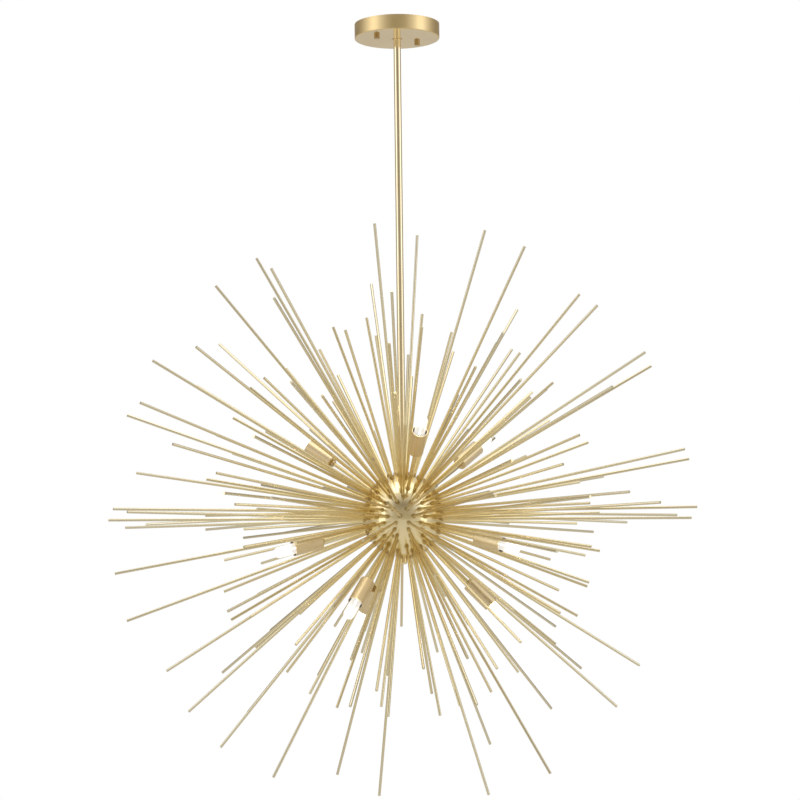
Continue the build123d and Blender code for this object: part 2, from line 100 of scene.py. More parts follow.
class Sketch:
    """A shorthand for laying out nodes in one tree."""

    def __init__(self, tree: Tree) -> None:
        """Start on a shader tree or a group's tree."""
        self.tree = tree

    def add(self, kind: str, **settings: object) -> Node:
        """Add a node.

        Args:
            kind: the node's type name, without its ShaderNode prefix if it has one.
            settings: properties to set on it.

        Returns:
            The new node.
        """
        name = kind if kind.startswith("Node") else "ShaderNode" + kind
        node = self.tree.nodes.new(name)
        for key, value in settings.items():
            setattr(node, key, value)
        return node

    def link(self, source: Socket, target: Socket) -> None:
        """Join an output to an input."""
        self.tree.links.new(source, target)

    def feed(self, target: Socket, value: object) -> None:
        """Give an input a constant, or link it to an output.

        Args:
            target: the input socket.
            value: an output socket, a number, a colour or a vector.
        """
        if isinstance(value, Socket):
            self.link(value, target)
        elif isinstance(value, tuple) and len(value) == 3 and target.type == "RGBA":
            target.default_value = (*value, 1.0)
        else:
            target.default_value = value

    def filled(self, kind: str, values: tuple[object, ...], **settings: object) -> Node:
        """Add a node and give its inputs values, in their own order.

        Args:
            kind: the node's type name.
            values: numbers, colours or outputs.
            settings: properties to set on it.

        Returns:
            The new node.
        """
        node = self.add(kind, **settings)
        for socket, value in zip(node.inputs, values):
            self.feed(socket, value)
        return node

    def here(self) -> Socket:
        """The point being shaded, in the object's own coordinates."""
        return self.add("TexCoord").outputs["Object"]

    def split(self, vector: Socket) -> list[Socket]:
        """The X, Y and Z of a vector, as three outputs."""
        return list(self.filled("SeparateXYZ", (vector,)).outputs)

    def join(self, *values: object) -> Socket:
        """A vector made from X, Y and Z."""
        return self.filled("CombineXYZ", values).outputs[0]

    def math(self, operation: str, *values: object, clamp: bool = False) -> Socket:
        """One arithmetic step, whose result can be kept between 0 and 1."""
        return self.filled("Math", values, operation=operation, use_clamp=clamp).outputs[0]

    def vector_math(self, operation: str, *values: object) -> Node:
        """One vector step, whose node is returned because its outputs differ."""
        return self.filled("VectorMath", values, operation=operation)

    def scaled(self, vector: Socket, amount: float) -> Socket:
        """A vector or colour, scaled by a number."""
        node = self.vector_math("SCALE", vector)
        node.inputs["Scale"].default_value = amount
        return node.outputs[0]

    def blend(self, factor: object, first: object, second: object) -> Socket:
        """Mix two colours.

        Args:
            factor: 0 gives the first and 1 the second.
            first: a colour or an output.
            second: a colour or an output.

        Returns:
            The mixed colour's socket.
        """
        node = self.add("Mix", data_type="RGBA")
        self.feed(node.inputs[0], factor)
        self.feed(node.inputs[6], first)
        self.feed(node.inputs[7], second)
        return node.outputs[2]

    def spread(self, value: object, low: float, high: float, to_low: float, to_high: float) -> Socket:
        """Stretch a value from the range low to high on to another, without leaving the second."""
        return self.filled("MapRange", (value, low, high, to_low, to_high), clamp=True).outputs[0]

    def noise(self, vector: object, scale: object, detail: float, rough: float = 0.5) -> Socket:
        """Smooth noise.

        Args:
            vector: where it is read.
            scale: how many blobs to the metre.
            detail: how many finer octaves are laid over it.
            rough: how strong those are.

        Returns:
            The noise value's socket, about 0.5 on average.
        """
        node = self.add("TexNoise")
        for key, value in (("Vector", vector), ("Scale", scale), ("Detail", detail), ("Roughness", rough)):
            self.feed(node.inputs[key], value)
        return node.outputs[0]


class PatternShop:
    """Builds each shared pattern once and hands out its group."""

    def __init__(self) -> None:
        """Start with no group made."""
        self.made: dict[Pattern, Tree] = {}

    def place(self, sketch: Sketch, pattern: Pattern, **values: object) -> Node:
        """Put a pattern into a material, and build its group the first time.

        Args:
            sketch: the material's nodes.
            pattern: which pattern.
            values: its inputs by name, with underscores for spaces.

        Returns:
            The group node.
        """
        if pattern not in self.made:
            self.made[pattern] = bpy.data.node_groups.new(pattern.value, "ShaderNodeTree")
            getattr(self, f"draw_{pattern.value}")(self.made[pattern])
        node = sketch.add("Group", node_tree=self.made[pattern])
        for key, value in values.items():
            sketch.feed(node.inputs[key.replace("_", " ")], value)
        return node

    @staticmethod
    def sockets(
        tree: Tree, takes: dict[str, object], gives: dict[str, str]
    ) -> tuple[Sketch, Node, Node]:
        """Give a group its named sockets.

        Args:
            tree: the group.
            takes: each input's name and default, whose type says what the socket is.
            gives: each output's name and kind, Color or Float.

        Returns:
            A sketch of the tree, its input node and its output node.
        """
        for name, default in takes.items():
            kind = "NodeSocketFloat" if isinstance(default, float) else "NodeSocketColor"
            socket = tree.interface.new_socket(name, in_out="INPUT", socket_type=kind)
            socket.default_value = default if isinstance(default, float) else (*default, 1.0)
        for name, kind in gives.items():
            tree.interface.new_socket(name, in_out="OUTPUT", socket_type="NodeSocket" + kind)
        sketch = Sketch(tree)
        return sketch, sketch.add("NodeGroupInput"), sketch.add("NodeGroupOutput")

    def draw_slow_tone(self, tree: Tree) -> None:
        """Slow drift between a light and a deep tone, as plating has over a part."""
        white = (1.0, 1.0, 1.0)
        takes = {"Light": white, "Deep": white, "Scale": 10.0, "Amount": 1.0}
        sketch, given, out = self.sockets(tree, takes, {"Colour": "Color"})
        slow = sketch.noise(sketch.here(), given.outputs["Scale"], detail=3.0, rough=0.55)
        mask = sketch.spread(slow, 0.32, 0.68, 0.0, 1.0)
        share = sketch.math("MULTIPLY", mask, given.outputs["Amount"], clamp=True)
        mixed = sketch.blend(share, given.outputs["Light"], given.outputs["Deep"])
        sketch.link(mixed, out.inputs["Colour"])

    def draw_spun_lines(self, tree: Tree) -> None:
        """Fine rings about the vertical axis, left by spinning and polishing on a lathe."""
        gives = {"Height": "Float", "Streak": "Float"}
        sketch, given, out = self.sockets(tree, {"Fineness": 900.0}, gives)
        x, y, z = sketch.split(sketch.here())
        squares = sketch.math("ADD", sketch.math("MULTIPLY", x, x), sketch.math("MULTIPLY", y, y))
        ring = sketch.join(sketch.math("SQRT", squares), 0.0, z)
        fine = sketch.noise(ring, given.outputs["Fineness"], detail=4.0, rough=0.6)
        coarse_scale = sketch.math("MULTIPLY", given.outputs["Fineness"], 0.12)
        coarse = sketch.noise(ring, coarse_scale, detail=1.0)
        sketch.link(fine, out.inputs["Height"])
        sketch.link(sketch.spread(coarse, 0.35, 0.65, 0.0, 1.0), out.inputs["Streak"])

    def draw_drawn_lines(self, tree: Tree) -> None:
        """Lines along rods that stand out from the hub, rings round them, and each rod's own tone."""
        takes = {"Hub Height": 0.0, "Fineness": 90.0, "Ring Fineness": 900.0}
        gives = {"Height": "Float", "Rings": "Float", "Rod Tone": "Float", "Outwards": "Float"}
        sketch, given, out = self.sockets(tree, takes, gives)
        centre = sketch.join(0.0, 0.0, given.outputs["Hub Height"])
        arm = sketch.vector_math("SUBTRACT", sketch.here(), centre).outputs[0]
        way = sketch.vector_math("NORMALIZE", arm).outputs[0]
        length = sketch.vector_math("LENGTH", arm).outputs["Value"]
        lines = sketch.vector_math("ADD", way, sketch.scaled(arm, 0.02)).outputs[0]
        sketch.link(sketch.noise(lines, given.outputs["Fineness"], detail=1.0), out.inputs["Height"])
        ring = sketch.join(length, 0.0, 0.0)
        sketch.link(sketch.noise(ring, given.outputs["Ring Fineness"], detail=2.0), out.inputs["Rings"])
        by_rod = sketch.noise(way, 11.0, detail=1.0)
        sketch.link(sketch.spread(by_rod, 0.36, 0.64, 0.0, 1.0), out.inputs["Rod Tone"])
        sketch.link(sketch.spread(length, 0.1, 0.5, 0.0, 1.0), out.inputs["Outwards"])

    def draw_handling_marks(self, tree: Tree) -> None:
        """Soft cloudy smears, where the lacquer has been wiped or touched."""
        sketch, given, out = self.sockets(tree, {"Scale": 30.0, "Cover": 0.5}, {"Smear": "Float"})
        place = sketch.here()
        bend = sketch.math("MULTIPLY", sketch.noise(place, given.outputs["Scale"], detail=2.0), 0.03)
        moved = sketch.vector_math("ADD", place, sketch.join(bend, bend, bend)).outputs[0]
        finer = sketch.math("MULTIPLY", given.outputs["Scale"], 1.7)
        cloud = sketch.noise(moved, finer, detail=5.0)
        edge = sketch.math("SUBTRACT", 1.0, given.outputs["Cover"])
        above = sketch.math("SUBTRACT", cloud, sketch.math("MULTIPLY", edge, 0.7))
        sketch.link(sketch.math("MULTIPLY", above, 3.0, clamp=True), out.inputs["Smear"])

    def draw_cut_thread(self, tree: Tree) -> None:
        """The rounded ridges of a screw thread about the vertical axis."""
        sketch, given, out = self.sockets(tree, {"Pitch": 0.0008}, {"Height": "Float"})
        turns = sketch.math("DIVIDE", sketch.split(sketch.here())[2], given.outputs["Pitch"])
        wave = sketch.math("PINGPONG", turns, 0.5)
        sketch.link(sketch.math("MULTIPLY", wave, 2.0), out.inputs["Height"])

    def draw_fine_mottle(self, tree: Tree) -> None:
        """Small speckle, as in glaze, moulded plastic or plating crystals."""
        sketch, given, out = self.sockets(tree, {"Scale": 700.0}, {"Height": "Float", "Speck": "Float"})
        place = sketch.here()
        fine = sketch.noise(place, given.outputs["Scale"], detail=3.0)
        cells = sketch.add("TexVoronoi", feature="F1")
        sketch.link(place, cells.inputs["Vector"])
        sketch.link(given.outputs["Scale"], cells.inputs["Scale"])
        sketch.link(fine, out.inputs["Height"])
        sketch.link(cells.outputs["Distance"], out.inputs["Speck"])


SHOP = PatternShop()


# ------------ Finishes ------------


def new_material(name: str) -> tuple[Material, Sketch, Node]:
    """A material with only a Principled shader in it.

    Args:
        name: the material's name.

    Returns:
        The material, a sketch of its nodes, and the shader.
    """
    material = bpy.data.materials.new(name)
    material.use_nodes = True
    sketch = Sketch(material.node_tree)
    shader = next(node for node in material.node_tree.nodes if node.type == "BSDF_PRINCIPLED")
    return material, sketch, shader


def settle(node: Node, **values: object) -> None:
    """Set constants on a node's inputs, named with underscores for spaces."""
    for key, value in values.items():
        node.inputs[key.replace("_", " ")].default_value = value


def slow_tone(sketch: Sketch, light: Colour, deep: Colour, scale: float, amount: float) -> Socket:
    """A colour that drifts from a light to a deep tone, scale times to the metre, by some amount."""
    tone = SHOP.place(sketch, Pattern.SLOW_TONE, Light=light, Deep=deep, Scale=scale, Amount=amount)
    return tone.outputs["Colour"]


def bumped(sketch: Sketch, shader: Node, height: object, depth: float, strength: float) -> None:
    """Let a height drive the shader's normal.

    Args:
        sketch: the material's nodes.
        shader: its Principled shader.
        height: the output that holds the height, from 0 to 1.
        depth: how deep a full step is, in metres.
        strength: how strongly it shows.
    """
    bump = sketch.add("Bump")
    settle(bump, Strength=strength, Distance=depth)
    sketch.feed(bump.inputs["Height"], height)
    sketch.link(bump.outputs["Normal"], shader.inputs["Normal"])


@dataclass(frozen=True)
class Finish:
    """How a surface looks."""

    name: str

    def material(self) -> Material:
        """The finish as a material, which each kind of finish makes in its own way."""
        raise NotImplementedError


@dataclass(frozen=True)
class SatinGold(Finish):
    """Satin gold plate under a thin clear lacquer, on spun or turned parts."""

    light: Colour = (0.85, 0.67, 0.34)
    deep: Colour = (0.76, 0.56, 0.25)
    smooth: float = 0.17
    rough: float = 0.25
    fineness: float = 900.0
    tone_scale: float = 14.0
    tone_amount: float = 0.6
    streak_share: float = 0.25
    smear_share: float = 0.5
    most_worn: float = 0.75
    coat: float = 0.25
    coat_rough: float = 0.12
    line_depth: float = 0.000005
    line_strength: float = 0.05
    polished_below: float | None = None
    polish: float = 0.06

    def material(self) -> Material:
        """The finish as a material."""
        material, sketch, shader = new_material(self.name)
        tone = slow_tone(sketch, self.light, self.deep, self.tone_scale, self.tone_amount)
        lines = SHOP.place(sketch, Pattern.SPUN_LINES, Fineness=self.fineness)
        smears = SHOP.place(sketch, Pattern.HANDLING, Scale=22.0, Cover=0.35)
        streak = sketch.math("MULTIPLY", lines.outputs["Streak"], self.streak_share)
        sketch.link(sketch.blend(streak, tone, self.deep), shader.inputs["Base Color"])
        worn = sketch.math("MULTIPLY_ADD", smears.outputs["Smear"], self.smear_share, streak)
        rough = sketch.spread(worn, 0.0, self.most_worn, self.smooth, self.rough)
        if self.polished_below is not None:
            rough = self.polished_underside(sketch, rough)
        sketch.link(rough, shader.inputs["Roughness"])
        settle(shader, Metallic=1.0, Coat_Weight=self.coat, Coat_Roughness=self.coat_rough)
        bumped(sketch, shader, lines.outputs["Height"], self.line_depth, self.line_strength)
        return material

    def polished_underside(self, sketch: Sketch, rough: Socket) -> Socket:
        """Polish the flat underside.

        Args:
            sketch: the material's nodes.
            rough: the roughness elsewhere.

        Returns:
            The roughness with the flat underside polished.
        """
        level = self.polished_below
        down = sketch.spread(sketch.split(sketch.here())[2], level, level + POLISH_EDGE, 1.0, 0.0)
        mixed = sketch.add("Mix", data_type="FLOAT")
        for index, value in ((0, down), (2, rough), (3, self.polish)):
            sketch.feed(mixed.inputs[index], value)
        return mixed.outputs[0]


class Grain(Enum):
    """Which way the fine lines run on a part that stands out from the hub."""

    ALONG = "Height"
    AROUND = "Rings"


@dataclass(frozen=True)
class DrawnGold(Finish):
    """Satin gold plate on drawn rod, tube and turned cups that stand out from the hub."""

    hub_height: float
    light: Colour = (0.90, 0.78, 0.46)
    deep: Colour = (0.74, 0.58, 0.25)
    pale: Colour = (0.68, 0.65, 0.52)
    smooth: float = 0.17
    rough: float = 0.25
    grain: Grain = Grain.ALONG
    rod_share: float = 0.9
    painted_reflection_share: float = 0.65
    grain_share: float = 0.08
    smear_share: float = 0.6
    most_worn: float = 0.7
    coat: float = 0.2
    coat_rough: float = 0.15
    line_depth: float = 0.000002
    line_strength: float = 0.04

    def material(self) -> Material:
        """The finish as a material."""
        material, sketch, shader = new_material(self.name)
        lines = SHOP.place(sketch, Pattern.DRAWN_LINES, Hub_Height=self.hub_height)
        height = lines.outputs[self.grain.value]
        smears = SHOP.place(sketch, Pattern.HANDLING, Scale=26.0, Cover=0.4)
        share = sketch.math("MULTIPLY", lines.outputs["Rod Tone"], self.rod_share)
        by_rod = sketch.blend(share, self.light, self.deep)
        # Painted reflection: the gold is deeper near the hub, where the gold parts reflect one another,
        # and fades to the pale tone towards the tips.
        outwards = sketch.math("MULTIPLY", lines.outputs["Outwards"], self.painted_reflection_share)
        painted_reflection_tone = sketch.blend(outwards, by_rod, self.pale)
        grain = sketch.spread(height, 0.35, 0.65, 0.0, self.grain_share)
        sketch.link(sketch.blend(grain, painted_reflection_tone, self.deep), shader.inputs["Base Color"])
        worn = sketch.math("MULTIPLY_ADD", smears.outputs["Smear"], self.smear_share, grain)
        rough = sketch.spread(worn, 0.0, self.most_worn, self.smooth, self.rough)
        sketch.link(rough, shader.inputs["Roughness"])
        settle(shader, Metallic=1.0, Coat_Weight=self.coat, Coat_Roughness=self.coat_rough)
        bumped(sketch, shader, height, self.line_depth, self.line_strength)
        return material


@dataclass(frozen=True)
class PlainMetal(Finish):
    """Bare or zinc-plated metal of the hidden hardware, threaded where it has a pitch."""

    light: Colour
    deep: Colour
    rough: float = 0.32
    pitch: float | None = None
    thread_depth: float = 0.00035

    def material(self) -> Material:
        """The finish as a material."""
        material, sketch, shader = new_material(self.name)
        tone = slow_tone(sketch, self.light, self.deep, 60.0, 0.8)
        speckle = SHOP.place(sketch, Pattern.MOTTLE, Scale=900.0)
        stained = sketch.math("MULTIPLY", speckle.outputs["Speck"], 0.3)
        sketch.link(sketch.blend(stained, tone, self.deep), shader.inputs["Base Color"])
        height = speckle.outputs["Height"]
        rough = sketch.spread(height, NOISE_LOW, NOISE_HIGH, self.rough * 0.8, self.rough * 1.25)
        sketch.link(rough, shader.inputs["Roughness"])
        settle(shader, Metallic=1.0)
        if self.pitch is None:
            bumped(sketch, shader, height, 0.00001, 0.4)
        else:
            thread = SHOP.place(sketch, Pattern.THREAD, Pitch=self.pitch)
            bumped(sketch, shader, thread.outputs["Height"], self.thread_depth, 0.9)
        return material


@dataclass(frozen=True)
class Moulded(Finish):
    """Plastic, paint or glaze: coloured through, with a fine moulded grain."""

    light: Colour
    deep: Colour
    rough: float = 0.45
    grain_scale: float = 600.0
    grain_depth: float = 0.00003
    coat: float = 0.0

    def material(self) -> Material:
        """The finish as a material."""
        material, sketch, shader = new_material(self.name)
        speckle = SHOP.place(sketch, Pattern.MOTTLE, Scale=self.grain_scale)
        sketch.link(slow_tone(sketch, self.light, self.deep, 45.0, 0.9), shader.inputs["Base Color"])
        rough = sketch.spread(speckle.outputs["Speck"], 0.0, 0.8, self.rough * 1.15, self.rough * 0.85)
        sketch.link(rough, shader.inputs["Roughness"])
        settle(shader, Coat_Weight=self.coat, Coat_Roughness=0.08)
        bumped(sketch, shader, speckle.outputs["Height"], self.grain_depth, 0.4)
        return material


@dataclass(frozen=True)
class Glass(Finish):
    """Clear glass with slight ripples, which can glow a little."""

    tint: Colour
    index: float
    clearness: float
    ripple_scale: float
    ripple_depth: float
    ripple_strength: float
    smooth: float
    rough: float
    glow: Colour = (1.0, 1.0, 1.0)
    glow_strength: float = 0.0

    def material(self) -> Material:
        """The finish as a material."""
        material, sketch, shader = new_material(self.name)
        ripples = SHOP.place(sketch, Pattern.MOTTLE, Scale=self.ripple_scale).outputs["Height"]
        rough = sketch.spread(ripples, NOISE_LOW, NOISE_HIGH, self.smooth, self.rough)
        sketch.link(rough, shader.inputs["Roughness"])
        settle(shader, Base_Color=(*self.tint, 1.0), Transmission_Weight=self.clearness, IOR=self.index)
        settle(shader, Emission_Color=(*self.glow, 1.0), Emission_Strength=self.glow_strength)
        bumped(sketch, shader, ripples, self.ripple_depth, self.ripple_strength)
        return material


@dataclass(frozen=True)
class HotWire(Finish):
    """Tungsten wire, glowing."""

    glow: Colour = (1.0, 0.78, 0.45)
    deep_glow: Colour = (1.0, 0.66, 0.3)
    strength: float = 22.0
    metal: Colour = (0.25, 0.22, 0.2)

    def material(self) -> Material:
        """The finish as a material."""
        material, sketch, shader = new_material(self.name)
        tone = slow_tone(sketch, self.glow, self.deep_glow, 400.0, 0.8)
        sketch.link(tone, shader.inputs["Emission Color"])
        settle(shader, Base_Color=(*self.metal, 1.0), Roughness=0.5, Metallic=1.0)
        settle(shader, Emission_Strength=self.strength)
        return material


BULB_GLASS = Glass(
    "bulb_clear_glass", tint=(1.0, 0.99, 0.97), index=1.47, clearness=1.0, smooth=0.018, rough=0.048,
    ripple_scale=120.0, ripple_depth=0.00002, ripple_strength=0.15,
    glow=(1.0, 0.95, 0.88), glow_strength=0.2,
)

MOUNT_GLASS = Glass(
    "bulb_mount_glass", tint=(0.93, 0.96, 0.95), index=1.5, clearness=0.9, smooth=0.05, rough=0.16,
    ripple_scale=300.0, ripple_depth=0.00005, ripple_strength=0.3,
)


# ------------ Modelling by hand ------------


class Bench:
    """The operators used to model a piece, one object in edit mode at a time."""

    @staticmethod
    def clear() -> None:
        """Leave edit mode and deselect everything."""
        if bpy.context.object is not None and bpy.context.object.mode != "OBJECT":
            bpy.ops.object.mode_set(mode="OBJECT")
        bpy.ops.object.select_all(action="DESELECT")

    @staticmethod
    def pick(piece: Piece) -> None:
        """Select one object alone and make it active."""
        Bench.clear()
        piece.select_set(True)
        bpy.context.view_layer.objects.active = piece

    @staticmethod
    def profile(name: str, points: Outline) -> Piece:
        """Draw an open outline in the XZ plane by extruding one point on to the next.

        Args:
            name: the piece's name.
            points: each corner's distance from the axis and its height, in metres.

        Returns:
            The outline, still in edit mode with all of it selected.
        """
        Bench.clear()
        bpy.ops.mesh.primitive_plane_add(size=0.001, location=(points[0][0], 0.0, points[0][1]))
        piece = bpy.context.object
        piece.name = name
        bpy.ops.object.transform_apply(location=True, rotation=True, scale=True)
        bpy.ops.object.mode_set(mode="EDIT")
        bpy.ops.mesh.select_all(action="SELECT")
        bpy.ops.mesh.merge(type="CENTER")
        for here, there in zip(points, points[1:]):
            step = (there[0] - here[0], 0.0, there[1] - here[1])
            bpy.ops.mesh.extrude_region_move(TRANSFORM_OT_translate={"value": step})
        bpy.ops.mesh.select_all(action="SELECT")
        return piece

    @staticmethod
    def close_up(merge: float = 1e-6) -> None:
        """Weld what meets, turn every face outwards and leave edit mode."""
        bpy.ops.mesh.select_all(action="SELECT")
        bpy.ops.mesh.remove_doubles(threshold=merge)
        bpy.ops.mesh.normals_make_consistent(inside=False)
        bpy.ops.object.mode_set(mode="OBJECT")

    @staticmethod
    def turn(name: str, points: Outline, steps: int) -> Piece:
        """Turn an outline about the Z axis into a closed piece.

        Args:
            name: the piece's name.
            points: the outline, from axis to axis or back to its start.
            steps: how many faces go round.

        Returns:
            The turned piece.
        """
        piece = Bench.profile(name, points)
        bpy.ops.mesh.spin(steps=steps, angle=2 * math.pi, center=(0, 0, 0), axis=(0, 0, 1))
        Bench.close_up()
        return piece

    @staticmethod
    def screw(outline: Piece, pitch: float, turns: int, steps: int) -> None:
        """Sweep an outline up a helix about the Z axis.

        Args:
            outline: the outline, which becomes the swept piece.
            pitch: how far it rises in a turn.
            turns: how many turns it makes.
            steps: how many faces go round.
        """
        Bench.pick(outline)
        modifier = outline.modifiers.new("screw", "SCREW")
        modifier.screw_offset = pitch
        modifier.iterations = turns
        modifier.steps = modifier.render_steps = steps
        modifier.use_merge_vertices = True
        modifier.merge_threshold = 1e-6
        bpy.ops.object.modifier_apply(modifier=modifier.name)

    @staticmethod
    def smooth(piece: Piece, degrees: float = 35.0) -> None:
        """Shade smooth, with creases kept above an angle."""
        Bench.pick(piece)
        bpy.ops.object.shade_smooth_by_angle(angle=math.radians(degrees))

    @staticmethod
    def cut(piece: Piece, height: float, keep_above: bool) -> None:
        """Saw a piece square at a height and close the cut.

        Args:
            piece: the object.
            height: where the saw goes, on Z.
            keep_above: keep what is above the cut, else what is below.
        """
        Bench.pick(piece)
        bpy.ops.object.mode_set(mode="EDIT")
        bpy.ops.mesh.select_all(action="SELECT")
        bpy.ops.mesh.bisect(
            plane_co=(0, 0, height),
            plane_no=(0, 0, 1),
            use_fill=True,
            clear_inner=keep_above,
            clear_outer=not keep_above,
        )
        bpy.ops.object.mode_set(mode="OBJECT")

    @staticmethod
    def copy(piece: Piece, name: str, place: Matrix) -> Piece:
        """A copy with its own mesh, put in its place.

        Args:
            piece: the modelled original.
            name: the copy's name.
            place: where it goes, applied to its mesh.

        Returns:
            The copy, whose object stays at the origin.
        """
        Bench.pick(piece)
        bpy.ops.object.duplicate(linked=False)
        made = bpy.context.object
        made.name = name
        made.matrix_world = place
        bpy.ops.object.transform_apply(location=True, rotation=True, scale=True)
        return made


def dress(piece: Piece, material: Material) -> None:
    """Give an object one material all over."""
    slots = piece.material_slots
    if len(slots) == 0:
        piece.data.materials.append(material)
    for slot in slots:
        slot.material = material


def nearest(node: Piece, centre: Vector, way: Vector) -> float:
    """How far along a line a node starts, from the line's start and its unit direction."""
    return min((vertex.co - centre).dot(way) for vertex in node.data.vertices)


# ------------ The chandelier ------------

Dressing = dict[Finish, tuple[str, ...]]


@dataclass
class Assembly:
    """CAD nodes that belong together, and the finishes they wear."""

    nodes: dict[str, Piece]

    def finishes(self) -> Dressing:
        """Each finish with the nodes that wear it, which each assembly lists."""
        raise NotImplementedError

    def dress(self) -> None:
        """Make each finish once and dress its nodes."""
        dressed = 0
        for finish, names in self.finishes().items():
            material = finish.material()
            for name in names:
                dress(self.nodes[name], material)
            dressed += len(names)
        LOG.info("%s: %d nodes dressed", type(self).__name__.lower(), dressed)


@dataclass
class Canopy(Assembly):
    """The round pan on the ceiling, with its bracket, studs, nuts and swivel."""

    knurl: SatinGold = SatinGold(
        "knurled_nut_gold", light=(0.6, 0.45, 0.22), deep=(0.42, 0.3, 0.13), smooth=0.2, rough=0.3
    )
    seat: SatinGold = SatinGold("swivel_seat_gold", smooth=0.22, rough=0.3)
    zinc: PlainMetal = PlainMetal("zinc_plate", *ZINC)
    thread: PlainMetal = PlainMetal("zinc_stud_thread", ZINC[0], (0.4, 0.41, 0.42), pitch=0.0008)
    ground: Moulded = Moulded(
        "ground_screw_green", (0.04, 0.3, 0.1), (0.02, 0.2, 0.07), rough=0.35, coat=0.3
    )

    def finishes(self) -> Dressing:
        """The pan polished underneath, and the plainer hardware inside it."""
        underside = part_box("canopy_shell")[0].z + POLISH_EDGE
        pan = SatinGold("canopy_satin_gold", smooth=0.3, rough=0.38, polished_below=underside)
        return {
            pan: ("canopy_shell",),
            self.zinc: ("mounting_bracket", "stud_lock_nuts", "ball_nut"),
            self.thread: ("canopy_studs",),
            self.ground: ("ground_screw",),
            self.knurl: ("thumb_nut_1", "thumb_nut_2"),
            self.seat: ("seat_ring", "swivel_ball"),
        }


@dataclass
class Stem(Assembly):
    """The two lengths of tube, the pipe inside them and the lead."""

    tube: SatinGold = SatinGold(
        "stem_satin_gold", light=(0.93, 0.81, 0.54), deep=(0.85, 0.71, 0.42), smooth=0.12, rough=0.18,
        fineness=500.0, tone_scale=6.0,
    )
    pipe: PlainMetal = PlainMetal(
        "zinc_pipe_thread", (0.64, 0.65, 0.67), (0.4, 0.41, 0.42), pitch=0.00094, thread_depth=0.0005
    )
    lead: Moulded = Moulded("lead_insulation", *INSULATION, rough=0.38)

    def finishes(self) -> Dressing:
        """Gold tubes over threaded pipe."""
        return {
            self.tube: ("upper_stem", "lower_stem"),
            self.pipe: ("top_nipple", "stem_nipple", "tie_pipe"),
            self.lead: ("stem_lead",),
        }


@dataclass
class Hub(Assembly):
    """The ball hub's two spun halves and what is inside it."""

    shell: SatinGold = SatinGold(
        "hub_satin_gold", light=(0.93, 0.80, 0.48), deep=(0.86, 0.70, 0.36), smooth=0.12, rough=0.18,
        tone_scale=18.0,
    )
    zinc: PlainMetal = PlainMetal("hub_zinc_plate", *ZINC)
    connector: Moulded = Moulded("wire_nut_plastic", (0.85, 0.36, 0.05), (0.7, 0.26, 0.03), rough=0.42)

    def finishes(self) -> Dressing:
        """A gold shell over plated nuts and two connectors."""
        return {
            self.shell: ("upper_hub_half", "lower_hub_half", "cap_nut"),
            self.zinc: ("tie_nut", "upper_rod_nuts", "lower_rod_nuts", "arm_inner_nuts"),
            self.connector: ("wire_nuts",),
        }


@dataclass
class Rods(Assembly):
    """The burst of straight rods and the collars at their feet."""

    hub_height: float

    def finishes(self) -> Dressing:
        """Drawn rods, and turned collars darkened as painted shade for the gaps at the rods' feet."""
        rod = DrawnGold("rod_drawn_gold", self.hub_height)
        # Painted shade: the collars' gold is darkened to stand for the shaded gaps between collar, rod and
        # hub; the arm nuts and cup collars wear the same darkened gold.
        collar = DrawnGold(
            "collar_gold_painted_shade", self.hub_height, light=(0.68, 0.54, 0.27), deep=(0.5, 0.37, 0.16)
        )
        return {
            rod: ("upper_long_rods", "upper_short_rods", "lower_long_rods", "lower_short_rods"),
            collar: ("upper_rod_collars", "lower_rod_collars", "arm_nuts", "cup_collars"),
        }


@dataclass
class Lamps(Assembly):
    """The nine lamp arms with their cups and sockets."""

    hub_height: float
    brass: PlainMetal = PlainMetal("contact_brass", (0.83, 0.62, 0.3), (0.6, 0.42, 0.18), rough=0.24)
    zinc: PlainMetal = PlainMetal("cup_nut_zinc", *ZINC)
    phenolic: Moulded = Moulded("socket_phenolic", (0.012, 0.011, 0.01), (0.006, 0.006, 0.006), rough=0.5)
    lead: Moulded = Moulded("lamp_lead_insulation", *INSULATION, rough=0.38)

    def finishes(self) -> Dressing:
        """Gold arms and cups, black sockets and their contacts."""
        arm = DrawnGold("arm_drawn_gold", self.hub_height, smooth=0.15, rough=0.22)
        cup = DrawnGold(
            "cup_satin_gold",
            self.hub_height,
            light=(0.84, 0.70, 0.44),
            deep=(0.76, 0.60, 0.34),
            pale=(0.84, 0.72, 0.48),
            smooth=0.28,
            rough=0.36,
            grain=Grain.AROUND,
        )
        return {
            arm: ("lamp_arms",),
            cup: ("socket_cups",),
            self.zinc: ("cup_nuts",),
            self.phenolic: ("sockets",),
            self.brass: ("screw_shells", "centre_contacts"),
            self.lead: ("lamp_leads",),
        }


